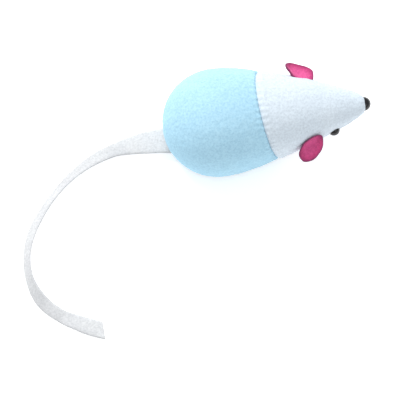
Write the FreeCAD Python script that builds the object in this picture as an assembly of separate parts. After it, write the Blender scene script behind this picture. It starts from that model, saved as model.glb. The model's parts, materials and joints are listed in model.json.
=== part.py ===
import FreeCAD, Part
import math
import os

from FreeCAD import Vector

# Clockwork mouse: a plush-covered dome on a wheeled base plate, driven by a wind-up motor.
# Millimetres. +X points to the nose, +Y to the mouse's left flank, +Z up from the floor.

# --- plush body: a round form of tangent arcs about an axis that dips to the nose ---
HALF_LENGTH = 35.0
NOSE_TIP_X = 33.4
RUMP_RADIUS = 18.0
RUMP_X = RUMP_RADIUS - HALF_LENGTH
WIDEST_Z = 12.0
NOSE_DROP = 1.5
SNOUT_RADIUS = 4.6
FLANK_RADIUS = 180.0
SHOULDER_RADIUS = 40.0
HEM_Z = 2.0
COVER = 1.2
SHELL = 1.2
COVER_GAP = 0.05

SEAM_X = 0.4
SEAM_TILT = 14.0

# --- face ---
EYE = Vector(21.3, 7.3, 9.6)
EYE_RADIUS = 2.0
NOSE_RADIUS = 2.4
SHANK_RADIUS = 0.6
SHANK_LENGTH = 4.0
EAR_LENGTH = 10.6
EAR_WIDTH = 6.8
EAR_THICKNESS = 1.0
# each ear's centre, then the turns in degrees that set it: roll, droop and bearing. The right one hangs lower.
EARS = {
    "left": (Vector(12.3, 11.3, 17.1), 32.0, -8.0, 150.0),
    "right": (Vector(12.4, -12.9, 11.3), -38.0, 25.0, -140.0),
}

# --- tail strip, lying on the floor behind the mouse ---
TAIL_WIDTH = 4.5
TAIL_ROUTE = [
    (-31.5, -0.8, 4.0),
    (-45.0, 1.6, 2.3),
    (-60.5, -2.6, 2.3),
    (-74.5, -13.2, 2.3),
    (-85.6, -29.5, 2.3),
    (-85.4, -46.5, 2.3),
    (-74.5, -57.8, 2.3),
    (-63.5, -62.3, 2.3),
]

# --- chassis ---
BASE_THICKNESS = 1.2
BASE_TOP = HEM_Z + BASE_THICKNESS
BOSS_RADIUS = 1.7
BOSS_HEIGHT = 6.0
WEB_HALF = 0.6
WEB_REACH = 8.0
BOSSES = [(13.9, 0.0), (-27.8, 5.0), (-27.8, -5.0)]
SCREW_RADIUS = 0.7
SCREW_HEAD_RADIUS = 1.2
SCREW_HEAD = 0.5
SCREW_HEAD_Z = HEM_Z + 0.1
SCREW_IN_BOSS = 5.4

FRONT_WHEEL_RADIUS = 3.2
FRONT_WHEEL_X = 8.7
FRONT_WHEEL_WIDTH = 3.0
FRONT_AXLE_RADIUS = 0.6
FRONT_LUG_RADIUS = 1.4
FRONT_LUG_Y = (1.9, 2.8)
FRONT_AXLE_HALF = 3.1

TYRE_RADIUS = 6.5
WHEEL_RADIUS = 5.3
WHEEL_INNER_Y = 7.7
WHEEL_WIDTH = 2.6
RIM_THICKNESS = 0.9
WEB_THICKNESS = 1.0
HUB_RADIUS = 1.8
AXLE_RADIUS = 0.8

# --- motor ---
PLATE_INNER_Y = 6.0
PLATE_THICKNESS = 1.0
PLATE_FRONT_X = 8.7
PLATE_REAR_X = -23.4
TAB_WIDTH = 2.2
TAB_STARTS = [0.1, PLATE_REAR_X]
PILLAR_RADIUS = 1.0
PILLAR_END_RADIUS = 0.6
RUNNING = 0.05

# tooth sizes: a tooth's share of the pitch, its height over and its depth under the pitch circle
WHEEL_TOOTH = (0.45, 0.42, 0.5)
PINION_TOOTH = (0.34, 0.38, 0.55)
MODULE = 0.5
PINION_TEETH = 8
GREAT_TEETH = 24
SECOND_TEETH = 22
THIRD_TEETH = 20


def beside(centre, teeth, angle):
    """The centre of a pinion meshed with a wheel of so many teeth, in the direction given in degrees."""
    reach = MODULE * (teeth + PINION_TEETH) / 2
    turn = math.radians(angle)
    return (centre[0] + reach * math.cos(turn), centre[1] + reach * math.sin(turn))


# arbor centres as (x, z); the drive axle hangs from the second wheel so that the tyres reach the floor
GREAT = (-0.8, 9.8)
SECOND = beside(GREAT, GREAT_TEETH, 168.0)
DRIVE_DROP = SECOND[1] - TYRE_RADIUS
DRIVE_ANGLE = 180.0 + math.degrees(math.asin(DRIVE_DROP / (MODULE * (SECOND_TEETH + PINION_TEETH) / 2)))
DRIVE = beside(SECOND, SECOND_TEETH, DRIVE_ANGLE)
THIRD = beside(SECOND, SECOND_TEETH, 100.0)
GOVERNOR = beside(THIRD, THIRD_TEETH, 190.0)
SPRING_PILLAR = (7.1, GREAT[1])
PILLARS = [SPRING_PILLAR, (2.5, 18.4), (-21.6, 9.0)]

ARBOR_RADIUS = 0.7
PIVOT_RADIUS = 0.45
WINDING_RADIUS = 1.2
WINDING_PIVOT = 0.8
FLYWHEEL_RADIUS = 4.5

# where each wheel sits between the plates, as (low y, high y)
GREAT_Y = (3.6, 5.1)
SECOND_PINION_Y = (3.4, 5.4)
SECOND_Y = (-5.2, -4.0)
DRIVE_PINION_Y = (-5.6, -3.6)
THIRD_Y = (0.0, 1.2)
GOVERNOR_PINION_Y = (-0.4, 1.6)
FLYWHEEL_Y = (2.4, 4.8)
RATCHET_Y = (2.5, 3.3)
SPRING_Y = (-3.2, 1.8)

SPRING_THICKNESS = 0.25
SPRING_PITCH = 0.75
SPRING_HALF_TURNS = 13
SPRING_HOOK = 0.25
SPRING_TAB = 0.2

RATCHET_TEETH = 12
RATCHET_RADIUS = 3.1
RATCHET_ROOT = 2.4
CLICK_Y = (RATCHET_Y[0] + 0.1, GREAT_Y[0])
CLICK_TOOTH = math.radians(60.0)
RIVET_RADIUS = 0.4

KNOB_RADIUS = 3.7
KNOB_Y = (10.0, 14.3)
KNOB_DISC = 2.2
KNOB_GRIP = 1.7
KNOB_FLUTES = 14
NOTCH_RADIUS = 4.7
NOTCH_FLOOR_Y = 9.0


# --- plain shapes ---
def rod(centre, radius, low_y, high_y):
    """A round bar along Y about a centre given as (x, z)."""
    start = Vector(centre[0], low_y, centre[1])
    return Part.makeCylinder(radius, high_y - low_y, start, Vector(0, 1, 0))


def ring(centre, outer, inner, low_y, high_y):
    return rod(centre, outer, low_y, high_y).cut(rod(centre, inner, low_y, high_y))


def post(x, y, radius, low_z, high_z):
    return Part.makeCylinder(radius, high_z - low_z, Vector(x, y, low_z))


def block(x, y, z):
    """A box from three (low, high) pairs."""
    return Part.makeBox(x[1] - x[0], y[1] - y[0], z[1] - z[0], Vector(x[0], y[0], z[0]))


def prism(outline, low_y, high_y):
    """A straight-sided plate along Y, from its (x, z) corners."""
    corners = [Vector(x, low_y, z) for x, z in outline]
    face = Part.Face(Part.makePolygon(corners + corners[:1]))
    return face.extrude(Vector(0, high_y - low_y, 0))


def polar(centre, radius, angle):
    return (centre[0] + radius * math.cos(angle), centre[1] + radius * math.sin(angle))


def save(node, shape):
    solids = shape.Solids
    shape = solids[0] if len(solids) == 1 else Part.makeCompound(solids)
    shape.exportStep(f"parts/{node}.step")
    print(f"{node}: {len(solids)} solid(s), {shape.Volume:.2f} mm3, valid {shape.isValid()}")


# --- plush body ---
def body_form(inset):
    """The whole body as one egg, drawn in from the outside of the plush by the inset."""
    snout = Vector(NOSE_TIP_X - SNOUT_RADIUS, 0, 0)
    rump = Vector(RUMP_X, 0, 0)
    shoulder = Vector(RUMP_X, 0, RUMP_RADIUS - SHOULDER_RADIUS)
    # the flank's centre is where its two tangencies, with snout and shoulder, meet
    from_snout = FLANK_RADIUS - SNOUT_RADIUS
    from_shoulder = FLANK_RADIUS - SHOULDER_RADIUS
    between = shoulder - snout
    apart = between.Length
    along = (from_snout**2 - from_shoulder**2 + apart**2) / (2 * apart)
    off = math.sqrt(from_snout**2 - along**2)
    line = between / apart
    flank = snout + line * along + Vector(-line.z, 0, line.x) * off

    def outline_arc(centre, radius, start, end):
        """An arc about a centre from one direction to the other."""
        middle = (start + end).normalize()
        reach = radius - inset
        return Part.Arc(centre + start * reach, centre + middle * reach, centre + end * reach).toShape()

    ahead, up, astern = Vector(1, 0, 0), Vector(0, 0, 1), Vector(-1, 0, 0)
    to_snout = (snout - flank).normalize()
    to_shoulder = (shoulder - flank).normalize()
    edges = [
        outline_arc(snout, SNOUT_RADIUS, ahead, to_snout),
        outline_arc(flank, FLANK_RADIUS, to_snout, to_shoulder),
        outline_arc(shoulder, SHOULDER_RADIUS, to_shoulder, up),
        Part.Arc(
            rump + up * (RUMP_RADIUS - inset),
            rump + (up + astern).normalize() * (RUMP_RADIUS - inset),
            rump + astern * (RUMP_RADIUS - inset),
        ).toShape(),
    ]
    axis = Part.makeLine(rump + astern * (RUMP_RADIUS - inset), snout + ahead * (SNOUT_RADIUS - inset))
    egg = Part.Face(Part.Wire(edges + [axis])).revolve(Vector(), Vector(1, 0, 0), 360)
    egg.rotate(rump, Vector(0, 1, 0), math.degrees(math.atan2(NOSE_DROP, HALF_LENGTH - RUMP_X)))
    egg.translate(Vector(0, 0, WIDEST_Z))
    return egg


def above(shape, low_z, high_z=60.0):
    return shape.common(block((-60, 60), (-40, 40), (low_z, high_z)))


def knob_notch():
    """The pocket in the left flank that the winding knob turns in, open to the hem."""
    down = block((GREAT[0] - NOTCH_RADIUS, GREAT[0] + NOTCH_RADIUS), (NOTCH_FLOOR_Y, 30.0), (0.0, GREAT[1]))
    return rod(GREAT, NOTCH_RADIUS, NOTCH_FLOOR_Y, 30.0).fuse(down)


def behind_seam():
    """Everything behind the leaning seam plane between the white and the blue plush."""
    half = block((-100, 0), (-50, 50), (-60, 60))
    half.rotate(Vector(), Vector(0, 1, 0), -SEAM_TILT)
    half.translate(Vector(SEAM_X, 0, WIDEST_Z))
    return half


def mirrored(point, side):
    return Vector(point.x, point.y * side, point.z)


def shank(centre, inward):
    """The stem that holds a bead through plush and shell; it starts well inside the bead."""
    start = centre - inward.normalize() * 0.8
    return Part.makeCylinder(SHANK_RADIUS, SHANK_LENGTH, start, inward)


def eye_shank(side):
    return shank(mirrored(EYE, side), Vector(-0.3, -side, -0.05))


def nose_centre():
    return Vector(HALF_LENGTH - NOSE_RADIUS, 0, WIDEST_Z - NOSE_DROP + 0.1)


def nose_shank():
    return shank(nose_centre(), Vector(-1, 0, 0))


def ear(centre, roll, droop, bearing):
    """A felt oval whose long axis runs out and back from the side of the head."""
    oval = Part.Face(Part.Wire(Part.Ellipse(Vector(), EAR_LENGTH / 2, EAR_WIDTH / 2).toShape()))
    felt = oval.extrude(Vector(0, 0, EAR_THICKNESS))
    felt.translate(Vector(0, 0, -EAR_THICKNESS / 2))
    felt.rotate(Vector(), Vector(1, 0, 0), roll)
    felt.rotate(Vector(), Vector(0, 1, 0), droop)
    felt.rotate(Vector(), Vector(0, 0, 1), bearing)
    felt.translate(centre)
    return felt


def make_covers(outside):
    skin = above(outside, HEM_Z).cut(body_form(COVER)).cut(knob_notch())
    for hole in (eye_shank(1), eye_shank(-1), nose_shank()):
        skin = skin.cut(hole)
    rear = behind_seam()
    save("head_cover", skin.cut(rear))
    save("rear_cover", skin.common(rear))


def make_shell():
    outer = body_form(COVER + COVER_GAP)
    inner = body_form(COVER + SHELL)
    dome = outer.cut(inner)
    for x, y in BOSSES:
        boss = post(x, y, BOSS_RADIUS, BASE_TOP, BASE_TOP + BOSS_HEIGHT)
        outward = math.copysign(WEB_REACH, x)
        web = block(sorted((x, x + outward)), (y - WEB_HALF, y + WEB_HALF), (BASE_TOP, BASE_TOP + BOSS_HEIGHT))
        dome = dome.fuse(boss.fuse(web).common(outer))
    dome = above(dome, BASE_TOP).cut(knob_notch())
    for x, y in BOSSES:
        dome = dome.cut(post(x, y, SCREW_RADIUS + 0.02, BASE_TOP, BASE_TOP + SCREW_IN_BOSS))
    for hole in (eye_shank(1), eye_shank(-1), nose_shank()):
        dome = dome.cut(hole)
    save("body_shell", dome.removeSplitter())


def make_face(outside):
    for side, name in ((1, "left"), (-1, "right")):
        eye = Part.makeSphere(EYE_RADIUS, mirrored(EYE, side)).cut(outside)
        save(f"eye_{name}", eye.fuse(eye_shank(side)))
        save(f"ear_{name}", ear(*EARS[name]).cut(outside))
    nose = Part.makeSphere(NOSE_RADIUS, nose_centre()).cut(outside)
    save("nose_button", nose.fuse(nose_shank()))


def rounded_path(route):
    """Straight runs joined by tangent arcs as large as the runs allow, and the arcs' radii."""
    points = [Vector(*point) for point in route]
    edges, radii = [], []
    start = points[0]
    for before, corner, after in zip(points, points[1:], points[2:]):
        back = (before - corner).normalize()
        ahead = (after - corner).normalize()
        shorter = min((before - corner).Length, (after - corner).Length)
        half_turn = (math.pi - back.getAngle(ahead)) / 2
        cut_back = 0.45 * shorter
        radius = cut_back / math.tan(half_turn)
        entry = corner + back * cut_back
        leave = corner + ahead * cut_back
        middle = corner + (back + ahead).normalize() * (radius / math.cos(half_turn) - radius)
        edges.append(Part.LineSegment(start, entry).toShape())
        edges.append(Part.Arc(entry, middle, leave).toShape())
        radii.append(radius)
        start = leave
    edges.append(Part.LineSegment(start, points[-1]).toShape())
    return Part.Wire(edges), radii


def make_tail(outside):
    path, radii = rounded_path(TAIL_ROUTE)
    first = path.Edges[0]
    along = first.tangentAt(first.FirstParameter)
    section = Part.Wire(Part.makeCircle(TAIL_WIDTH / 2, Vector(*TAIL_ROUTE[0]), along))
    tube = path.makePipeShell([section], True, False)
    area = math.pi * (TAIL_WIDTH / 2) ** 2
    print("tail arc radii:", ", ".join(f"{radius:.1f}" for radius in radii))
    print(f"tail length {path.Length:.1f}, volume {tube.Volume:.1f} against {area * path.Length:.1f}")
    save("tail_strip", tube.cut(outside))


# --- chassis ---
def front_axle_centre():
    return (FRONT_WHEEL_X, FRONT_WHEEL_RADIUS)


def make_base():
    plate = above(body_form(COVER + COVER_GAP), HEM_Z, BASE_TOP)
    slot = TYRE_RADIUS - 0.6
    for side in (1, -1):
        across = sorted((side * (WHEEL_INNER_Y - 0.4), side * (WHEEL_INNER_Y + WHEEL_WIDTH + 0.4)))
        plate = plate.cut(block((DRIVE[0] - slot, DRIVE[0] + slot), across, (0, BASE_TOP)))
        tabs = sorted((side * (PLATE_INNER_Y - RUNNING), side * (PLATE_INNER_Y + PLATE_THICKNESS + RUNNING)))
        for x in TAB_STARTS:
            plate = plate.cut(block((x - RUNNING, x + TAB_WIDTH + RUNNING), tabs, (0, BASE_TOP)))
    slot = FRONT_WHEEL_RADIUS + 0.5
    between_lugs = (-FRONT_LUG_Y[0], FRONT_LUG_Y[0])
    plate = plate.cut(block((FRONT_WHEEL_X - slot, FRONT_WHEEL_X + slot), between_lugs, (0, BASE_TOP)))
    for side in (1, -1):
        across = sorted(side * y for y in FRONT_LUG_Y)
        along = (FRONT_WHEEL_X - FRONT_LUG_RADIUS, FRONT_WHEEL_X + FRONT_LUG_RADIUS)
        lug = block(along, across, (HEM_Z, FRONT_WHEEL_RADIUS))
        plate = plate.fuse(lug.fuse(rod(front_axle_centre(), FRONT_LUG_RADIUS, *across)))
    plate = plate.cut(rod(front_axle_centre(), FRONT_AXLE_RADIUS, -FRONT_AXLE_HALF, FRONT_AXLE_HALF))
    for x, y in BOSSES:
        plate = plate.cut(post(x, y, SCREW_RADIUS + 0.15, HEM_Z, BASE_TOP))
        plate = plate.cut(post(x, y, SCREW_HEAD_RADIUS + 0.15, HEM_Z, SCREW_HEAD_Z + SCREW_HEAD))
    save("base_plate", plate.removeSplitter())


def make_screws():
    """Three cross-head screws, sunk in the plate, that hold it to the shell's bosses."""
    slot_half, slot_reach = 0.15, 0.8
    screws = []
    for x, y in BOSSES:
        head_top = SCREW_HEAD_Z + SCREW_HEAD
        screw = post(x, y, SCREW_HEAD_RADIUS, SCREW_HEAD_Z, head_top)
        for wide, long in ((slot_half, slot_reach), (slot_reach, slot_half)):
            depth = (SCREW_HEAD_Z, SCREW_HEAD_Z + SCREW_HEAD / 2)
            screw = screw.cut(block((x - wide, x + wide), (y - long, y + long), depth))
        screws.append(screw.fuse(post(x, y, SCREW_RADIUS, head_top, BASE_TOP + SCREW_IN_BOSS)))
    save("shell_screws", Part.makeCompound(screws))


def make_front_wheel():
    centre = front_axle_centre()
    half = FRONT_WHEEL_WIDTH / 2
    recess = 0.7
    wheel = ring(centre, FRONT_WHEEL_RADIUS, FRONT_AXLE_RADIUS + RUNNING, -half, half)
    tread_length = math.tau * FRONT_WHEEL_RADIUS - 1
    wheel = wheel.makeFillet(0.3, [edge for edge in wheel.Edges if edge.Closed and edge.Length > tread_length])
    for low, high in ((-half, -half + recess), (half - recess, half)):
        wheel = wheel.cut(ring(centre, FRONT_WHEEL_RADIUS - recess, 2 * FRONT_AXLE_RADIUS, low, high))
    save("front_wheel", wheel)
    save("front_axle", rod(centre, FRONT_AXLE_RADIUS, -FRONT_AXLE_HALF, FRONT_AXLE_HALF))


def make_drive_wheel(side, name):
    near, far = WHEEL_INNER_Y, WHEEL_INNER_Y + WHEEL_WIDTH
    middle = (near + far) / 2
    hole_radius, hole_count = 0.8, 5
    hole_circle = (HUB_RADIUS + WHEEL_RADIUS - RIM_THICKNESS) / 2
    wheel = ring(DRIVE, WHEEL_RADIUS, WHEEL_RADIUS - RIM_THICKNESS, near, far)
    web_radius = WHEEL_RADIUS - RIM_THICKNESS / 2
    wheel = wheel.fuse(rod(DRIVE, web_radius, middle - WEB_THICKNESS / 2, middle + WEB_THICKNESS / 2))
    wheel = wheel.fuse(rod(DRIVE, HUB_RADIUS, near, far + 0.2))
    for hole in range(hole_count):
        wheel = wheel.cut(rod(polar(DRIVE, hole_circle, hole * math.tau / hole_count), hole_radius, near, far))
    wheel = wheel.cut(rod(DRIVE, AXLE_RADIUS, near - 1, far + 1))
    tyre = ring(DRIVE, TYRE_RADIUS, WHEEL_RADIUS, near, far)
    tread_length = math.tau * TYRE_RADIUS - 1
    tyre = tyre.makeFillet(0.4, [edge for edge in tyre.Edges if edge.Closed and edge.Length > tread_length])
    if side < 0:
        wheel = wheel.mirror(Vector(), Vector(0, 1, 0))
        tyre = tyre.mirror(Vector(), Vector(0, 1, 0))
    save(f"drive_wheel_{name}", wheel.removeSplitter())
    save(f"tyre_{name}", tyre)


# --- motor ---
def gear_blank(centre, teeth, first_tooth, width, tip, root):
    """Corners of a wheel with straight flanks and rounded tips; width is a tooth's share of the pitch."""
    pitch_radius = MODULE * teeth / 2
    half = width * math.pi / teeth
    rounding = [(-1.0, 0.0), (-0.87, 0.5), (-0.53, 0.85), (0.0, 1.0), (0.53, 0.85), (0.87, 0.5), (1.0, 0.0)]
    corners = []
    for tooth in range(teeth):
        middle = first_tooth + tooth * math.tau / teeth
        corners.append(polar(centre, pitch_radius - root, middle - half))
        corners += [polar(centre, pitch_radius + tip * up, middle + half * across) for across, up in rounding]
        corners.append(polar(centre, pitch_radius - root, middle + half))
    return corners


def wheel_gear(centre, teeth, first_tooth, span, bore):
    blank = prism(gear_blank(centre, teeth, first_tooth, *WHEEL_TOOTH), *span)
    return blank.cut(rod(centre, bore, *span))


def pinion_gear(centre, first_tooth, span, bore):
    blank = prism(gear_blank(centre, PINION_TEETH, first_tooth, *PINION_TOOTH), *span)
    return blank.cut(rod(centre, bore, *span))


def meshed(centre, teeth, first_tooth, mate, mate_teeth):
    """The mate's first tooth angle that puts its gap on the other gear's tooth along the line of centres."""
    towards = math.atan2(mate[1] - centre[1], mate[0] - centre[0])
    part_pitch = (towards - first_tooth) / (math.tau / teeth)
    return towards + math.pi - (0.5 - part_pitch) * math.tau / mate_teeth


def with_windows(wheel, centre, radius, hole, count, span):
    for window in range(count):
        angle = (window + 0.5) * math.tau / count
        wheel = wheel.cut(rod(polar(centre, radius, angle), hole, *span))
    return wheel


def arbor(centre):
    shaft = rod(centre, ARBOR_RADIUS, -PLATE_INNER_Y + 0.1, PLATE_INNER_Y - 0.1)
    end = PLATE_INNER_Y + PLATE_THICKNESS + 0.2
    return shaft.fuse(rod(centre, PIVOT_RADIUS, -end, end))


def make_plates():
    outline = [
        (4.5, BASE_TOP),
        (PLATE_FRONT_X, 6.0),
        (PLATE_FRONT_X, 12.0),
        (4.0, 19.7),
        (-17.4, 22.4),
        (PLATE_REAR_X, 17.0),
        (PLATE_REAR_X, BASE_TOP),
    ]
    holes = [(SECOND, PIVOT_RADIUS + RUNNING), (THIRD, PIVOT_RADIUS + RUNNING)]
    holes += [(GOVERNOR, PIVOT_RADIUS + RUNNING), (DRIVE, AXLE_RADIUS + RUNNING)]
    holes += [(pillar, PILLAR_END_RADIUS) for pillar in PILLARS]
    for side, name in ((1, "left"), (-1, "right")):
        span = sorted((side * PLATE_INNER_Y, side * (PLATE_INNER_Y + PLATE_THICKNESS)))
        plate = prism(outline, *span)
        for x in TAB_STARTS:
            plate = plate.fuse(block((x, x + TAB_WIDTH), span, (HEM_Z - 0.3, BASE_TOP)))
        winding = WINDING_RADIUS if side > 0 else WINDING_PIVOT
        for centre, radius in holes + [(GREAT, winding + RUNNING)]:
            plate = plate.cut(rod(centre, radius, *span))
        save(f"motor_plate_{name}", plate.removeSplitter())
    end = PLATE_INNER_Y + PLATE_THICKNESS + 0.3
    pillars = []
    for centre in PILLARS:
        pillar = rod(centre, PILLAR_RADIUS, -PLATE_INNER_Y, PLATE_INNER_Y)
        pillars.append(pillar.fuse(rod(centre, PILLAR_END_RADIUS, -end, end)))
    save("motor_pillars", Part.makeCompound(pillars))


def make_mainspring():
    """A flat spiral of half circles, hooked round a pillar outside and into the arbor's slot inside."""
    step = SPRING_PITCH / 2
    shift = SPRING_PITCH / 4
    reach = SPRING_PILLAR[0] - PILLAR_RADIUS - SPRING_HOOK - GREAT[0]
    first = reach - shift - (SPRING_HALF_TURNS - 1) * step

    def side_arcs(offset):
        arcs = []
        for turn in range(SPRING_HALF_TURNS):
            over = 1 if turn % 2 == 0 else -1
            centre = (GREAT[0] + over * shift, GREAT[1])
            radius = first + turn * step + offset
            start, middle, end = (
                Vector(centre[0] - over * radius, SPRING_Y[0], centre[1]),
                Vector(centre[0], SPRING_Y[0], centre[1] + over * radius),
                Vector(centre[0] + over * radius, SPRING_Y[0], centre[1]),
            )
            arcs.append((start, middle, end))
        return arcs

    outer = side_arcs(SPRING_THICKNESS / 2)
    inner = side_arcs(-SPRING_THICKNESS / 2)
    edges = [Part.Arc(*arc).toShape() for arc in outer]
    edges.append(Part.makeLine(outer[-1][2], inner[-1][2]))
    edges += [Part.Arc(*arc[::-1]).toShape() for arc in inner[::-1]]
    edges.append(Part.makeLine(inner[0][0], outer[0][0]))
    spring = Part.Face(Part.Wire(edges)).extrude(Vector(0, SPRING_Y[1] - SPRING_Y[0], 0))
    clear = 0.02
    hook = ring(SPRING_PILLAR, PILLAR_RADIUS + SPRING_HOOK + clear, PILLAR_RADIUS + clear, *SPRING_Y)
    below = (GREAT[1] - 4.0, GREAT[1] - 0.3)
    hook = hook.cut(block((SPRING_PILLAR[0] - 2, SPRING_PILLAR[0] + 2), SPRING_Y, below))
    tab = (GREAT[0] + shift - first, GREAT[0] - 0.7)
    inside = block(tab, SPRING_Y, (GREAT[1] - SPRING_TAB / 2, GREAT[1] + SPRING_TAB / 2))
    save("mainspring", spring.fuse([hook, inside]))


def make_winding():
    disc_end = KNOB_Y[0] + KNOB_DISC
    knob_end = disc_end - 0.4
    shaft = rod(GREAT, WINDING_RADIUS, SPRING_Y[0] - 0.6, KNOB_Y[0])
    shaft = shaft.fuse(rod(GREAT, WINDING_PIVOT, -PLATE_INNER_Y - PLATE_THICKNESS - 0.3, knob_end))
    slot_half = SPRING_TAB / 2 + 0.08
    slot_x = (GREAT[0] - WINDING_RADIUS - 1, GREAT[0] - WINDING_RADIUS / 2)
    slot_y = (SPRING_Y[0] - 0.1, SPRING_Y[1] + 0.1)
    shaft = shaft.cut(block(slot_x, slot_y, (GREAT[1] - slot_half, GREAT[1] + slot_half)))
    save("winding_arbor", shaft)

    knob = rod(GREAT, KNOB_RADIUS, KNOB_Y[0], disc_end)
    for flute in range(KNOB_FLUTES):
        edge = polar(GREAT, KNOB_RADIUS + 0.15, flute * math.tau / KNOB_FLUTES)
        knob = knob.cut(rod(edge, 0.45, KNOB_Y[0], disc_end))
    grip_x = (GREAT[0] - KNOB_GRIP / 2, GREAT[0] + KNOB_GRIP / 2)
    grip_z = (GREAT[1] - KNOB_RADIUS + 0.5, GREAT[1] + KNOB_RADIUS - 0.5)
    grip = block(grip_x, (disc_end, KNOB_Y[1]), grip_z)
    grip = grip.makeFillet(0.5, [edge for edge in grip.Edges if edge.BoundBox.YMin > disc_end + 0.1])
    knob = knob.fuse(grip).cut(rod(GREAT, WINDING_PIVOT, KNOB_Y[0], knob_end))
    save("winding_knob", knob.removeSplitter())

    corners = []
    for tooth in range(RATCHET_TEETH):
        angle = tooth * math.tau / RATCHET_TEETH
        corners += [polar(GREAT, RATCHET_ROOT, angle), polar(GREAT, RATCHET_RADIUS, angle)]
    ratchet = prism(corners, *RATCHET_Y).cut(rod(GREAT, WINDING_RADIUS, *RATCHET_Y))
    save("ratchet_wheel", ratchet)


def rivet_centre():
    return polar(GREAT, 4.7, math.radians(112.0))


def make_click():
    """A leaf riveted to the great gear, with its tip against a ratchet tooth's steep face."""
    rivet = rivet_centre()
    leaf = [
        polar(GREAT, 2.62, CLICK_TOOTH - 0.04),
        polar(GREAT, 2.7, CLICK_TOOTH - 0.11),
        polar(GREAT, 3.55, CLICK_TOOTH - 0.1),
        polar(rivet, 0.55, math.radians(60.0)),
        polar(rivet, 0.55, math.radians(240.0)),
        polar(GREAT, 3.3, CLICK_TOOTH + 0.16),
        polar(GREAT, 3.25, CLICK_TOOTH - 0.02),
    ]
    click = prism(leaf, *CLICK_Y).fuse(rod(rivet, 0.9, *CLICK_Y))
    save("click_spring", click.cut(rod(rivet, RIVET_RADIUS, *CLICK_Y)).removeSplitter())
    head = rod(rivet, 0.7, CLICK_Y[0] - 0.3, CLICK_Y[0])
    save("click_rivet", rod(rivet, RIVET_RADIUS, CLICK_Y[0], GREAT_Y[1]).fuse(head))


def make_train():
    drive_tooth = 0.0
    second_tooth = meshed(DRIVE, PINION_TEETH, drive_tooth, SECOND, SECOND_TEETH)
    great_tooth = meshed(SECOND, PINION_TEETH, 0.0, GREAT, GREAT_TEETH)
    third_tooth = meshed(SECOND, SECOND_TEETH, second_tooth, THIRD, PINION_TEETH)
    governor_tooth = meshed(THIRD, THIRD_TEETH, 0.0, GOVERNOR, PINION_TEETH)

    great = wheel_gear(GREAT, GREAT_TEETH, great_tooth, GREAT_Y, WINDING_RADIUS + RUNNING)
    save("great_gear", great.cut(rod(rivet_centre(), RIVET_RADIUS, *GREAT_Y)))

    second = wheel_gear(SECOND, SECOND_TEETH, second_tooth, SECOND_Y, ARBOR_RADIUS)
    save("second_wheel", with_windows(second, SECOND, 3.1, 1.2, 5, SECOND_Y))
    save("second_pinion", pinion_gear(SECOND, 0.0, SECOND_PINION_Y, ARBOR_RADIUS))
    save("second_arbor", arbor(SECOND))

    third = wheel_gear(THIRD, THIRD_TEETH, 0.0, THIRD_Y, ARBOR_RADIUS)
    save("third_wheel", with_windows(third, THIRD, 2.8, 1.1, 5, THIRD_Y))
    save("third_pinion", pinion_gear(THIRD, third_tooth, DRIVE_PINION_Y, ARBOR_RADIUS))
    save("third_arbor", arbor(THIRD))

    save("governor_pinion", pinion_gear(GOVERNOR, governor_tooth, GOVERNOR_PINION_Y, ARBOR_RADIUS))
    save("flywheel", ring(GOVERNOR, FLYWHEEL_RADIUS, ARBOR_RADIUS, *FLYWHEEL_Y))
    save("governor_arbor", arbor(GOVERNOR))

    save("drive_pinion", pinion_gear(DRIVE, drive_tooth, DRIVE_PINION_Y, AXLE_RADIUS))
    end = WHEEL_INNER_Y + WHEEL_WIDTH + 0.5
    save("drive_axle", rod(DRIVE, AXLE_RADIUS, -end, end))


os.makedirs("parts", exist_ok=True)
OUTSIDE = above(body_form(0.0), HEM_Z)
make_covers(OUTSIDE)
make_shell()
make_face(OUTSIDE)
make_tail(OUTSIDE)
make_base()
make_screws()
make_front_wheel()
make_drive_wheel(1, "left")
make_drive_wheel(-1, "right")
make_plates()
make_mainspring()
make_winding()
make_click()
make_train()
for label, centre in (("great", GREAT), ("second", SECOND), ("drive", DRIVE), ("third", THIRD), ("governor", GOVERNOR)):
    print(f"{label} axis at x {centre[0]:.4f}, z {centre[1]:.4f}")
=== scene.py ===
"""Looks of a plush clockwork mouse: fabric covers, felt ears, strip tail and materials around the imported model.

Everything is in metres in the model's own frame: +X to the nose, +Y to the left flank, +Z up from the floor.
"""

import json
import math

import bmesh
import bpy
import numpy as np
from mathutils import Matrix, Vector, noise


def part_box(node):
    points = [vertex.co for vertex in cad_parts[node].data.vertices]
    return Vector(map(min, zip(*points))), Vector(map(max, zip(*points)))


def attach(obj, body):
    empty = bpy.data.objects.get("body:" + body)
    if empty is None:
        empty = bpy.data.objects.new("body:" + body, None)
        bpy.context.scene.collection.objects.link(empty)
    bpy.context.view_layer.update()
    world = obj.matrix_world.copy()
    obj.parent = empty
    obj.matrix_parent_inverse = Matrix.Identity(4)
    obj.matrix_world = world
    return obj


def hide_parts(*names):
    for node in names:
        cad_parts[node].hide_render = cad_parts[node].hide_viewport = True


MM = 0.001
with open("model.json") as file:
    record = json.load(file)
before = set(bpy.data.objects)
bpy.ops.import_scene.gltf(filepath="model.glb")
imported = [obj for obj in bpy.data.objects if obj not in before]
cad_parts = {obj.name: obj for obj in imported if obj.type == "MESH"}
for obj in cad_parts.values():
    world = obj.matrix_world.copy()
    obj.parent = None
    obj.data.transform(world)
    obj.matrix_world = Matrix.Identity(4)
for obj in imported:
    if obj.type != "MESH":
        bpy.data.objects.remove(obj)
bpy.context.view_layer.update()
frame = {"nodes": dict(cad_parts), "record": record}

# --- the body's form: a round egg of tangent arcs about an axis that dips to the nose, as in the CAD model ---
REAR_LOW, REAR_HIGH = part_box("rear_cover")
RUMP_RADIUS = (REAR_HIGH.y - REAR_LOW.y) / 2
RUMP_X = REAR_LOW.x + RUMP_RADIUS
WIDEST_Z = REAR_HIGH.z - RUMP_RADIUS
HEM_Z = REAR_LOW.z
NOSE_TIP_X = 33.4 * MM
SNOUT_RADIUS = 4.6 * MM
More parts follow.
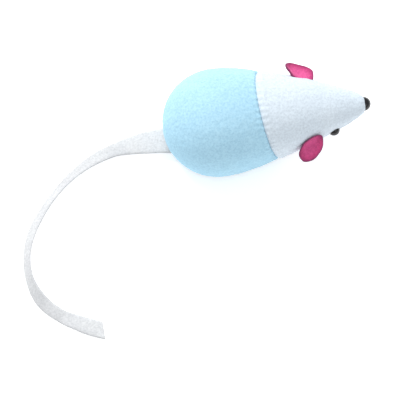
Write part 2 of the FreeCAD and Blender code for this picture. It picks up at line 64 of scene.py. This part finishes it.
FLANK_RADIUS = 180 * MM
SHOULDER_RADIUS = 40 * MM
NOSE_DROP = 1.5 * MM
COVER = 1.2 * MM
LINING_GAP = 0.06 * MM

SEAM_X = 0.4 * MM
SEAM_TILT = math.radians(14)
SEAM_ROLL = 0.9 * MM
HEM_ROLL = 1.3 * MM
NOTCH_ROLL = 0.9 * MM

# --- camera: above the right flank, with the rump a little nearer than the nose ---
ELEVATION = math.radians(70)
YAW = math.radians(8.5)
CAMERA_DISTANCE = 0.62
LOOK_AT = Vector((-26.0, -22.6, 2.0)) * MM
VIEW_WIDTH = 133.0 * MM
SENSOR = 36.0


def make_camera():
    data = bpy.data.cameras.new("camera")
    data.sensor_width = SENSOR
    data.lens = SENSOR * CAMERA_DISTANCE / VIEW_WIDTH
    camera = bpy.data.objects.new("camera", data)
    bpy.context.scene.collection.objects.link(camera)
    level = Vector((-math.sin(YAW), -math.cos(YAW), 0)) * math.cos(ELEVATION)
    away = level + Vector((0, 0, math.sin(ELEVATION)))
    camera.location = LOOK_AT + away * CAMERA_DISTANCE
    camera.rotation_euler = (-away).to_track_quat("-Z", "Y").to_euler()
    bpy.context.scene.camera = camera


# --- small helpers ---
def add_mesh(name, vertices, faces, smooth=True):
    mesh = bpy.data.meshes.new(name)
    mesh.from_pydata([tuple(v) for v in vertices], [], faces)
    mesh.update()
    piece = bpy.data.objects.new(name, mesh)
    bpy.context.scene.collection.objects.link(piece)
    for polygon in mesh.polygons:
        polygon.use_smooth = smooth
    return piece


def grain(point, size, seed=0.0):
    """Smooth noise from -1 to 1 whose lumps are about this size."""
    return noise.noise(Vector(point) / size + Vector((seed, 2 * seed, -seed)))


def rounded(distance, radius):
    """How far an edge rolls in, at this distance from the edge, if it is rounded to the radius."""
    if distance >= radius:
        return 0.0
    part = 1.0 - max(distance, 0.0) / radius
    return radius * (1.0 - math.sqrt(1.0 - part * part))


def bump_of(distance, width):
    """A smooth bell, 1 at no distance."""
    return math.exp(-((distance / width) ** 2))


# --- materials ---
class Nodes:
    """A material's node tree, with short ways to add and link nodes."""

    def __init__(self, name):
        self.material = bpy.data.materials.new(name)
        self.material.use_nodes = True
        self.tree = self.material.node_tree
        self.shader = self.tree.nodes["Principled BSDF"]
        self.place = self.add("ShaderNodeTexCoord").outputs["Object"]

    def add(self, kind, **values):
        node = self.tree.nodes.new(kind)
        for key, value in values.items():
            setattr(node, key, value)
        return node

    def link(self, output, socket):
        self.tree.links.new(output, socket)

    def set(self, **values):
        for key, value in values.items():
            self.shader.inputs[key.replace("_", " ")].default_value = value

    def noise(self, scale, detail=2.0, roughness=0.5, stretch=None):
        texture = self.add("ShaderNodeTexNoise")
        texture.inputs["Scale"].default_value = scale
        texture.inputs["Detail"].default_value = detail
        texture.inputs["Roughness"].default_value = roughness
        place = self.place
        if stretch:
            mapping = self.add("ShaderNodeMapping")
            mapping.inputs["Scale"].default_value = stretch
            self.link(place, mapping.inputs["Vector"])
            place = mapping.outputs["Vector"]
        self.link(place, texture.inputs["Vector"])
        return texture.outputs["Fac"]

    def ramp(self, value, *stops):
        """Colours at positions along a value."""
        ramp = self.add("ShaderNodeValToRGB")
        while len(ramp.color_ramp.elements) < len(stops):
            ramp.color_ramp.elements.new(0.5)
        for element, (position, colour) in zip(ramp.color_ramp.elements, stops):
            element.position = position
            element.color = (*colour, 1.0)
        self.link(value, ramp.inputs["Fac"])
        return ramp.outputs["Color"]

    def multiply(self, first, second):
        node = self.add("ShaderNodeMix", data_type="RGBA", blend_type="MULTIPLY")
        node.inputs["Factor"].default_value = 1.0
        self.link(first, node.inputs["A"])
        self.link(second, node.inputs["B"])
        return node.outputs["Result"]

    def bump(self, height, strength, distance, under=None):
        node = self.add("ShaderNodeBump")
        node.inputs["Strength"].default_value = strength
        node.inputs["Distance"].default_value = distance
        self.link(height, node.inputs["Height"])
        if under is not None:
            self.link(under, node.inputs["Normal"])
        return node.outputs["Normal"]


def plush(name, tuft_hollow_shade, light):
    """Short pile: painted shade in the hollows between the tufts, a lighter tone on their tops, with a soft sheen at
    grazing angles.
    """
    m = Nodes(name)
    tufts = m.noise(1500, 3, 0.6)
    patches = m.noise(90, 2, 0.5)
    # painted shade: the tuft noise darkens the colour in the hollows between the tufts and lightens it on their tops
    colour = m.ramp(tufts, (0.25, tuft_hollow_shade), (0.6, light))
    faded = m.ramp(patches, (0.35, (0.95, 0.96, 0.97)), (0.7, (1.0, 1.0, 1.0)))
    m.link(m.multiply(colour, faded), m.shader.inputs["Base Color"])
    coarse = m.bump(m.noise(500, 3, 0.6), 0.3, 0.2 * MM)
    m.link(m.bump(tufts, 0.6, 0.1 * MM, coarse), m.shader.inputs["Normal"])
    m.set(Roughness=0.95, Sheen_Weight=0.35, Sheen_Roughness=0.5, Specular_IOR_Level=0.15)
    m.shader.inputs["Sheen Tint"].default_value = (*light, 1.0)
    return m.material


def felt(name, node):
    """Hot pink felt for one ear, with painted light in the middle of the cup and painted shade, dark plum, towards
    the cut edge.
    """
    m = Nodes(name)
    inverse = ear_turn(node).transposed()
    centre = EARS[node][0]
    moved = m.add("ShaderNodeVectorMath", operation="SUBTRACT")
    m.link(m.place, moved.inputs[0])
    moved.inputs[1].default_value = centre
    squares = []
    for row, half in ((inverse[0], EAR_LENGTH / 2), (inverse[1], EAR_WIDTH / 2)):
        part = m.add("ShaderNodeVectorMath", operation="DOT_PRODUCT")
        m.link(moved.outputs["Vector"], part.inputs[0])
        part.inputs[1].default_value = row / half
        square = m.add("ShaderNodeMath", operation="MULTIPLY")
        m.link(part.outputs["Value"], square.inputs[0])
        m.link(part.outputs["Value"], square.inputs[1])
        squares.append(square.outputs["Value"])
    out = m.add("ShaderNodeMath", operation="ADD")
    m.link(squares[0], out.inputs[0])
    m.link(squares[1], out.inputs[1])
    # painted light and shade: bright pink in the middle of the cup, darkening to painted shade in plum at the rim
    colour = m.ramp(
        out.outputs["Value"],
        (0.2, (0.76, 0.12, 0.33)),
        (0.6, (0.60, 0.075, 0.23)),
        (0.95, (0.22, 0.035, 0.11)),
    )
    fibres = m.noise(1400, 4, 0.7)
    shade = m.ramp(fibres, (0.3, (0.72, 0.70, 0.72)), (0.65, (1.0, 1.0, 1.0)))
    m.link(m.multiply(colour, shade), m.shader.inputs["Base Color"])
    m.link(m.bump(fibres, 0.6, 0.12 * MM), m.shader.inputs["Normal"])
    m.set(Roughness=0.9, Sheen_Weight=0.3, Sheen_Roughness=0.4, Specular_IOR_Level=0.2)
    m.shader.inputs["Sheen Tint"].default_value = (1.0, 0.5, 0.7, 1.0)
    return m.material


def suede(name):
    """The tail's off-white strip: fine nap with a faint mottle."""
    m = Nodes(name)
    nap = m.noise(1500, 4, 0.65)
    mottle = m.noise(160, 2, 0.5)
    colour = m.ramp(nap, (0.3, (0.52, 0.53, 0.54)), (0.65, (0.68, 0.69, 0.70)))
    tone = m.ramp(mottle, (0.35, (0.93, 0.93, 0.94)), (0.7, (1.0, 1.0, 1.0)))
    m.link(m.multiply(colour, tone), m.shader.inputs["Base Color"])
    m.link(m.bump(nap, 0.4, 0.08 * MM), m.shader.inputs["Normal"])
    m.set(Roughness=0.9, Sheen_Weight=0.25, Sheen_Roughness=0.5, Specular_IOR_Level=0.2)
    return m.material


def moulded(name, colour, roughness, texture=0.3):
    """Moulded plastic with a fine spark-eroded grain and faint handling marks."""
    m = Nodes(name)
    mould = m.noise(2600, 3, 0.6)
    marks = m.noise(220, 4, 0.6)
    lighter = tuple(min(1.0, c * 1.12 + 0.006) for c in colour)
    m.link(m.ramp(marks, (0.35, colour), (0.75, lighter)), m.shader.inputs["Base Color"])
    rough = m.add("ShaderNodeMapRange")
    rough.inputs["To Min"].default_value = roughness * 0.85
    rough.inputs["To Max"].default_value = min(1.0, roughness * 1.2)
    m.link(marks, rough.inputs["Value"])
    m.link(rough.outputs["Result"], m.shader.inputs["Roughness"])
    m.link(m.bump(mould, texture, 0.02 * MM), m.shader.inputs["Normal"])
    return m.material


def metal(name, colour, roughness, stretch):
    """Rolled or turned metal: fine directional scratches and slight tarnish."""
    m = Nodes(name)
    lines = m.noise(900, 3, 0.6, stretch)
    tarnish = m.noise(140, 3, 0.5)
    darker = tuple(c * 0.72 for c in colour)
    m.link(m.ramp(tarnish, (0.3, darker), (0.6, colour)), m.shader.inputs["Base Color"])
    rough = m.add("ShaderNodeMapRange")
    rough.inputs["To Min"].default_value = roughness * 0.7
    rough.inputs["To Max"].default_value = roughness * 1.4
    m.link(lines, rough.inputs["Value"])
    m.link(rough.outputs["Result"], m.shader.inputs["Roughness"])
    m.link(m.bump(lines, 0.2, 0.01 * MM), m.shader.inputs["Normal"])
    m.set(Metallic=1.0)
    return m.material


def bead(name):
    """Glossy black plastic with a clear coat and the faintest orange peel."""
    m = Nodes(name)
    peel = m.noise(700, 2, 0.4)
    m.link(m.ramp(peel, (0.3, (0.004, 0.004, 0.005)), (0.8, (0.012, 0.012, 0.014))), m.shader.inputs["Base Color"])
    m.link(m.bump(peel, 0.05, 0.02 * MM), m.shader.inputs["Normal"])
    m.set(Roughness=0.2, Specular_IOR_Level=0.3, Coat_Weight=0.25, Coat_Roughness=0.05)
    return m.material


def rubber(name):
    m = Nodes(name)
    dust = m.noise(500, 4, 0.7)
    m.link(m.ramp(dust, (0.4, (0.018, 0.018, 0.019)), (0.8, (0.05, 0.05, 0.048))), m.shader.inputs["Base Color"])
    m.link(m.bump(m.noise(1800, 3, 0.7), 0.4, 0.04 * MM), m.shader.inputs["Normal"])
    m.set(Roughness=0.8, Specular_IOR_Level=0.3)
    return m.material


# --- the egg ---
def arc_centres():
    """The snout, flank, shoulder and rump arcs, each as its centre (x, r), radius, start and end direction."""
    snout = np.array([NOSE_TIP_X - SNOUT_RADIUS, 0.0])
    rump = np.array([RUMP_X, 0.0])
    shoulder = np.array([RUMP_X, RUMP_RADIUS - SHOULDER_RADIUS])
    from_snout = FLANK_RADIUS - SNOUT_RADIUS
    from_shoulder = FLANK_RADIUS - SHOULDER_RADIUS
    between = shoulder - snout
    apart = np.hypot(*between)
    along = (from_snout**2 - from_shoulder**2 + apart**2) / (2 * apart)
    off = math.sqrt(from_snout**2 - along**2)
    line = between / apart
    flank = snout + line * along + np.array([-line[1], line[0]]) * off
    to_snout = (snout - flank) / from_snout
    to_shoulder = (shoulder - flank) / from_shoulder
    return [
        (snout, SNOUT_RADIUS, np.array([1.0, 0.0]), to_snout),
        (flank, FLANK_RADIUS, to_snout, to_shoulder),
        (shoulder, SHOULDER_RADIUS, to_shoulder, np.array([0.0, 1.0])),
        (rump, RUMP_RADIUS, np.array([0.0, 1.0]), np.array([-1.0, 0.0])),
    ]


ARCS = arc_centres()
TILT = Matrix.Rotation(math.atan2(NOSE_DROP, -REAR_LOW.x - RUMP_X), 4, "Y")
TO_WORLD = Matrix.Translation((0, 0, WIDEST_Z)) @ Matrix.Translation((RUMP_X, 0, 0)) @ TILT
TO_WORLD = TO_WORLD @ Matrix.Translation((-RUMP_X, 0, 0))
TO_FORM = TO_WORLD.inverted()


def form_normal(point):
    """The egg's outward direction at a point on or near it."""
    p = TO_FORM @ point
    radial = math.hypot(p.y, p.z)
    for centre, radius, start, end in ARCS:
        if p.x >= (centre + end * radius)[0] or end[0] < -0.99:
            break
    way = np.array([p.x, radial]) - centre
    way /= np.hypot(*way)
    spoke = Vector((0, p.y, p.z)) / radial if radial > 1e-7 else Vector((0, 0, 0))
    return (TO_WORLD.to_3x3() @ (Vector((way[0], 0, 0)) + spoke * way[1])).normalized()


def egg_mesh(step, around):
    """The body's outer form as a bmesh of even rings."""
    rings = []
    for centre, radius, start, end in ARCS:
        turn = math.acos(np.clip(np.dot(start, end), -1, 1))
        count = max(2, round(radius * turn / step))
        first = math.atan2(start[1], start[0])
        for i in range(count):
            angle = first + turn * i / count
            rings.append(centre + radius * np.array([math.cos(angle), math.sin(angle)]))
    rings = rings[1:]
    bm = bmesh.new()
    tips = [bm.verts.new(TO_WORLD @ Vector((x, 0, 0))) for x in (NOSE_TIP_X, REAR_LOW.x)]
    loops = []
    for x, r in rings:
        angles = [math.tau * i / around for i in range(around)]
        loops.append([bm.verts.new(TO_WORLD @ Vector((x, r * math.cos(a), r * math.sin(a)))) for a in angles])
    for near, far in zip(loops, loops[1:]):
        for i in range(around):
            j = (i + 1) % around
            bm.faces.new((near[i], near[j], far[j], far[i]))
    for i in range(around):
        j = (i + 1) % around
        bm.faces.new((tips[0], loops[0][j], loops[0][i]))
        bm.faces.new((tips[1], loops[-1][i], loops[-1][j]))
    return bm


# --- covers ---
MESH_STEP = 0.36 * MM
MESH_AROUND = 300
KNOB_ROOM = 1.0 * MM
KNOB_LOW, KNOB_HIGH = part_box("winding_knob")
NOTCH_X = (KNOB_LOW.x + KNOB_HIGH.x) / 2
NOTCH_Z = (KNOB_LOW.z + KNOB_HIGH.z) / 2
NOTCH_RADIUS = (KNOB_HIGH.x - KNOB_LOW.x) / 2 + KNOB_ROOM
EYE_CENTRES = [sum(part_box(node), Vector()) / 2 for node in ("eye_left", "eye_right")]
SEAM_POINT = Vector((SEAM_X, 0, WIDEST_Z))
SEAM_NORMAL = Vector((math.cos(SEAM_TILT), 0, math.sin(SEAM_TILT)))


def seam_distance(point):
    """Positive in front of the seam, on the white side."""
    return (point - SEAM_POINT).dot(SEAM_NORMAL)


def notch_distance(point):
    """How far a point of the left flank is outside the knob's notch, negative inside it."""
    if point.y < 5 * MM:
        return 1.0
    if point.z > NOTCH_Z:
        return math.hypot(point.x - NOTCH_X, point.z - NOTCH_Z) - NOTCH_RADIUS
    return abs(point.x - NOTCH_X) - NOTCH_RADIUS


def plush_surface(point):
    """Where the outside of the plush lies, for a point of the plain egg."""
    normal = form_normal(point)
    seam = abs(seam_distance(point))
    inward = rounded(seam, SEAM_ROLL) * 0.75 + 0.35 * MM * bump_of(seam, 3.0 * MM)
    inward -= 0.3 * MM * bump_of(seam_distance(point) - 1.7 * MM, 0.8 * MM)
    inward += rounded(point.z - HEM_Z, HEM_ROLL) * 0.7
    inward += rounded(notch_distance(point), NOTCH_ROLL) * 0.8
    for eye in EYE_CENTRES:
        inward += 0.35 * MM * bump_of((point - Vector((eye.x, eye.y * 1.12, eye.z))).length, 3.0 * MM)
    soft = 0.22 * MM * grain(point, 11 * MM, 3) + 0.10 * MM * grain(point, 4.2 * MM, 9)
    around = math.atan2(point.y, point.z - WIDEST_Z)
    pucker = 0.13 * MM * bump_of(seam, 2.0 * MM) * math.sin(46 * around + 2.5 * grain(point, 5 * MM, 7))
    tufts = 0.10 * MM * grain(point, 1.1 * MM, 1) + 0.07 * MM * grain(point, 0.5 * MM, 5)
    return point + normal * (soft + pucker + tufts - inward)


def snap_to_notch(point):
    """Moves a point of the notch's ragged edge onto its outline."""
    if point.z > NOTCH_Z:
        way = Vector((point.x - NOTCH_X, 0, point.z - NOTCH_Z)).normalized()
        return Vector((NOTCH_X, point.y, NOTCH_Z)) + way * NOTCH_RADIUS
    return Vector((NOTCH_X + math.copysign(NOTCH_RADIUS, point.x - NOTCH_X), point.y, point.z))


def closed_shell(name, bm, surface):
    """A closed piece: the outside from surface(), an inside one cover's thickness in, and a rim between them."""
    outer = [surface(v.co) for v in bm.verts]
    inner = [v.co - form_normal(v.co) * (COVER - LINING_GAP) for v in bm.verts]
    count = len(outer)
    bm.verts.index_update()
    faces = [[v.index for v in face.verts] for face in bm.faces]
    rim = []
    for edge in bm.edges:
        if edge.is_boundary:
            loop = edge.link_loops[0]
            a, b = loop.vert.index, loop.link_loop_next.vert.index
            rim.append([b, a, a + count, b + count])
    faces += [[i + count for i in reversed(face)] for face in faces] + rim
    return add_mesh(name, outer + inner, faces)


def make_cover(name, side, material):
    """One plush cover, in front of the seam for side 1 and behind it for side -1."""
    bm = egg_mesh(MESH_STEP, MESH_AROUND)
    for place, kept_side in (((0, 0, HEM_Z), (0, 0, 1)), (SEAM_POINT, SEAM_NORMAL * side)):
        everything = bm.verts[:] + bm.edges[:] + bm.faces[:]
        bmesh.ops.bisect_plane(bm, geom=everything, plane_co=place, plane_no=kept_side, clear_inner=True)
    inside = [face for face in bm.faces if any(notch_distance(v.co) < 0 for v in face.verts)]
    bmesh.ops.delete(bm, geom=inside, context="FACES")
    for vertex in bm.verts:
        if vertex.is_boundary and notch_distance(vertex.co) < 0.7 * MM:
            vertex.co = snap_to_notch(vertex.co)
    bmesh.ops.recalc_face_normals(bm, faces=bm.faces[:])
    if sum(face.normal.dot(form_normal(face.calc_center_median())) for face in bm.faces[:50]) < 0:
        bmesh.ops.reverse_faces(bm, faces=bm.faces[:])
    area = sum(face.calc_area() for face in bm.faces)
    piece = closed_shell(name, bm, plush_surface)
    bm.free()
    piece.data.materials.append(material)
    return piece, area


# --- ears ---
EAR_LENGTH = 10.6 * MM
EAR_WIDTH = 6.8 * MM
EAR_THICKNESS = 0.9 * MM
EAR_CUP = 1.9 * MM
EAR_SINK = 0.7 * MM
SEWN_DEPTH = 2.3 * MM
# each ear's centre, then its roll, droop and bearing in degrees; the long axis runs out and back from the front end,
# and the right ear hangs lower
EARS = {
    "ear_left": (Vector((12.3, 11.3, 17.1)) * MM, 32.0, -8.0, 150.0),
    "ear_right": (Vector((12.4, -12.9, 11.3)) * MM, -38.0, 25.0, -140.0),
}


def ear_turn(node):
    roll, droop, bearing = (math.radians(angle) for angle in EARS[node][1:])
    return Matrix.Rotation(bearing, 3, "Z") @ Matrix.Rotation(droop, 3, "Y") @ Matrix.Rotation(roll, 3, "X")


def make_ear(node, material):
    """A cupped felt oval with a thick rolled edge, pinched where it is sewn to the head."""
    rings, around = 30, 112
    turn = ear_turn(node)
    centre = EARS[node][0]
    side = 1 if centre.y > 0 else -1

    def point(share, angle, face):
        wave = 1 + 0.02 * math.sin(3 * angle + side) + 0.012 * math.sin(7 * angle)
        along = share * math.cos(angle) * wave
        across = share * math.sin(angle) * wave
        root = max(0.0, -along)
        # the left ear is sewn down along its front end and its inner side
        sewn = min(1.0, max(0.0, 0.75 * (across - along))) if side > 0 else 0.0
        cup = (EAR_CUP - SEWN_DEPTH * sewn) * share**2.2 + 1.0 * MM * root * across**2 * (1 - sewn)
        curl = 0.3 * MM * math.sin(2 * angle + 0.9 * side) * share**3
        rim = 0.16 * MM * bump_of(share - 0.9, 0.08)
        edge = math.sqrt(max(0.0, 1 - share**8))
        x = along * EAR_LENGTH / 2
        y = across * EAR_WIDTH / 2 * (1 - 0.25 * root**2)
        nap = 0.06 * MM * grain((x, y, face * MM), 0.55 * MM, side)
        off = face * (EAR_THICKNESS / 2 * edge + rim + nap)
        return centre + turn @ Vector((x, y, cup + curl - EAR_SINK + off))

    vertices, faces = [], []
    for face in (1, -1):
        for ring in range(1, rings + 1):
            share = math.sin(math.pi / 2 * ring / rings)
            vertices += [point(share, math.tau * i / around, face) for i in range(around)]
    hubs = [len(vertices), len(vertices) + 1]
    vertices += [point(0.0, 0.0, 1), point(0.0, 0.0, -1)]
    back = rings * around
    for ring in range(rings - 1):
        for i in range(around):
            j = (i + 1) % around
            a, b = ring * around, (ring + 1) * around
            faces.append((a + i, b + i, b + j, a + j))
            faces.append((back + a + i, back + a + j, back + b + j, back + b + i))
    last = (rings - 1) * around
    for i in range(around):
        j = (i + 1) % around
        faces.append((hubs[0], i, j))
        faces.append((hubs[1], back + j, back + i))
        faces.append((last + i, back + last + i, back + last + j, last + j))
    piece = add_mesh(node + "_felt", vertices, faces)
    piece.data.materials.append(material)
    return piece


# --- tail ---
TAIL_WIDTH = 4.5 * MM
TAIL_THICKNESS = 0.8 * MM
TAIL_STEPS = 420
TAIL_ACROSS = 12
TAIL_CUT = 1.4 * MM
FLOOR_GAP = 0.05 * MM
# (share of the tail's length, value): width over the nominal width, and lean in degrees on the floor
TAIL_WIDTHS = (
    (0, 2.15),
    (0.06, 2.0),
    (0.21, 1.05),
    (0.34, 0.85),
    (0.6, 0.95),
    (0.85, 0.95),
    (0.95, 1.35),
    (1, 1.3),
)
TAIL_LEANS = ((0, 0), (0.12, 6), (0.3, 22), (0.5, 48), (0.7, 50), (0.84, 12), (0.93, -20), (1, -16))
TAIL_ROUTE = [
    Vector(point) * MM
    for point in (
        (-31.5, -0.8, 4.0),
        (-45.0, 1.6, 2.3),
        (-60.5, -2.6, 2.3),
        (-74.5, -13.2, 2.3),
        (-85.6, -29.5, 2.3),
        (-85.4, -46.5, 2.3),
        (-74.5, -57.8, 2.3),
        (-63.5, -62.3, 2.3),
    )
]


def tail_path():
    """Even points along the route's smooth curve."""
    curve = bpy.data.curves.new("tail_route", "CURVE")
    curve.dimensions = "3D"
    curve.resolution_u = 24
    spline = curve.splines.new("NURBS")
    spline.points.add(len(TAIL_ROUTE) - 1)
    for control, place in zip(spline.points, TAIL_ROUTE):
        control.co = (*place, 1.0)
    spline.order_u = 3
    spline.use_endpoint_u = True
    holder = bpy.data.objects.new("tail_route", curve)
    mesh = bpy.data.meshes.new_from_object(holder)
    points = [vertex.co.copy() for vertex in mesh.vertices]
    bpy.data.objects.remove(holder)
    return points


def blend_steps(value, *stops):
    """Smooth steps between (position, value) stops."""
    for (start, low), (end, high) in zip(stops, stops[1:]):
        if value <= end:
            part = min(1.0, max(0.0, (value - start) / (end - start)))
            part = part * part * (3 - 2 * part)
            return low + (high - low) * part
    return stops[-1][1]


def make_tail(material):
    """A flat strip, wide at its root, that leans on one edge round the bend and lies flat at its tip."""
    path = tail_path()
    lengths = [0.0]
    for a, b in zip(path, path[1:]):
        lengths.append(lengths[-1] + (b - a).length)
    total = lengths[-1]
    across_shares = [-1 + 2 * i / TAIL_ACROSS for i in range(TAIL_ACROSS + 1)]
    around = [(share, 1) for share in across_shares] + [(-share, -1) for share in across_shares]
    vertices, faces = [], []
    for step in range(TAIL_STEPS + 1):
        at = total * step / TAIL_STEPS
        index = max(1, min(int(np.searchsorted(lengths, at)), len(path) - 1))
        part = (at - lengths[index - 1]) / max(1e-9, lengths[index] - lengths[index - 1])
        place = path[index - 1].lerp(path[index], part)
        ahead = (path[min(index + 1, len(path) - 1)] - path[max(index - 2, 0)]).normalized()
        level = Vector((ahead.y, -ahead.x, 0)).normalized()
        share = at / total
        width = TAIL_WIDTH * blend_steps(share, *TAIL_WIDTHS)
        lean = math.radians(blend_steps(share, *TAIL_LEANS)) + 0.10 * math.sin(share * 21)
        across = level * math.cos(lean) - Vector((0, 0, math.sin(lean)))
        up = across.cross(ahead).normalized()
        if up.z < 0:
            up = -up
        lift = width / 2 * abs(math.sin(lean)) + TAIL_THICKNESS / 2 + FLOOR_GAP
        settle = blend_steps(share, (0, 0.0), (0.16, 1.0), (1, 1.0))
        place.z = place.z * (1 - settle) + lift * settle
        slanted = 0.9 * max(0.0, (share - 0.975) / 0.025)
        for position, face in around:
            cup = 0.25 * MM * (1 - position**2) * math.sin(share * 9 + 1)
            thick = TAIL_THICKNESS / 2 * (1 - 0.75 * abs(position) ** 10)
            slant = ahead * position * TAIL_CUT * slanted
            local = place + across * (position * width / 2) + up * (cup + face * thick) + slant
            nap = 0.05 * MM * grain(local, 0.7 * MM, face)
            vertices.append(local + up * nap)
    ring = len(around)
    for step in range(TAIL_STEPS):
        for i in range(ring):
            j = (i + 1) % ring
            a, b = step * ring, (step + 1) * ring
            faces.append((a + i, a + j, b + j, b + i))
    faces.append(tuple(range(ring))[::-1])
    faces.append(tuple(TAIL_STEPS * ring + i for i in range(ring)))
    piece = add_mesh("tail_strip_cloth", vertices, faces)
    piece.data.materials.append(material)
    return piece, path


# --- stage and light ---
def make_floor():
    m = Nodes("paper_floor")
    fibre = m.noise(60, 3, 0.5)
    m.link(m.ramp(fibre, (0.3, (0.93, 0.93, 0.93)), (0.7, (0.95, 0.95, 0.95))), m.shader.inputs["Base Color"])
    m.set(Roughness=0.95, Specular_IOR_Level=0.1, Emission_Strength=0.45)
    m.shader.inputs["Emission Color"].default_value = (1.0, 1.0, 1.0, 1.0)
    half = 3.0
    corners = [(-half, -half, 0), (half, -half, 0), (half, half, 0), (-half, half, 0)]
    floor = add_mesh("floor", corners, [(0, 1, 2, 3)], smooth=False)
    floor.data.materials.append(m.material)


def area_light(name, place, size, power, colour):
    data = bpy.data.lights.new(name, "AREA")
    data.shape = "DISK"
    data.size = size
    data.energy = power
    data.color = colour
    light = bpy.data.objects.new(name, data)
    light.location = place
    light.rotation_euler = (-Vector(place)).to_track_quat("-Z", "Y").to_euler()
    bpy.context.scene.collection.objects.link(light)


def make_light():
    world = bpy.data.worlds.new("studio")
    world.use_nodes = True
    background = world.node_tree.nodes["Background"]
    background.inputs["Color"].default_value = (0.97, 0.985, 1.0, 1.0)
    background.inputs["Strength"].default_value = 0.6
    bpy.context.scene.world = world
    area_light("key", (-0.2, 0.55, 0.8), 0.6, 9.5, (1.0, 1.0, 1.0))
    area_light("fill", (0.5, -0.7, 0.6), 0.6, 1.2, (1.0, 0.99, 0.97))
    bpy.context.scene.view_settings.view_transform = "Standard"


# --- putting it together ---
def paint_cad(materials):
    """Gives each carried-over CAD node the material of its slot."""
    slots = {entry["node"]: entry["material_slot"] for entry in frame["record"]["subparts"]}
    for node, piece in frame["nodes"].items():
        material = materials[slots[node]]
        for slot in piece.material_slots:
            slot.material = material


make_camera()
MATERIALS = {
    # each plush gets two colours: the painted shade for the hollows between its tufts, then its tuft-top colour
    "plush_white": plush("plush_white", (0.55, 0.61, 0.67), (0.68, 0.76, 0.83)),
    "plush_blue": plush("plush_blue", (0.32, 0.55, 0.70), (0.44, 0.69, 0.83)),
    "felt_pink": felt("felt_pink", "ear_left"),
    "bead_black": bead("bead_black"),
    "tail_white": suede("tail_white"),
    "shell_plastic": moulded("shell_plastic", (0.62, 0.62, 0.58), 0.45),
    "chassis_black": moulded("chassis_black", (0.012, 0.012, 0.013), 0.5),
    "knob_plastic": moulded("knob_plastic", (0.78, 0.78, 0.75), 0.25, 0.1),
    "plate_steel": metal("plate_steel", (0.56, 0.57, 0.58), 0.3, (1, 8, 1)),
    "spring_steel": metal("spring_steel", (0.16, 0.18, 0.24), 0.25, (1, 8, 1)),
    "gear_brass": metal("gear_brass", (0.75, 0.52, 0.20), 0.25, (1, 6, 1)),
    "tyre_rubber": rubber("tyre_rubber"),
}
paint_cad(MATERIALS)

tail, tail_points = make_tail(MATERIALS["tail_white"])
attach(tail, "root")
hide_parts("tail_strip")

for node, side, slot_name in (("head_cover", 1, "plush_white"), ("rear_cover", -1, "plush_blue")):
    cover, cut_area = make_cover(node + "_plush", side, MATERIALS[slot_name])
    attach(cover, "root")
    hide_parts(node)

for node in EARS:
    ear = make_ear(node, felt(node + "_pink", node))
    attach(ear, "root")
    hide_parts(node)

make_floor()
make_light()
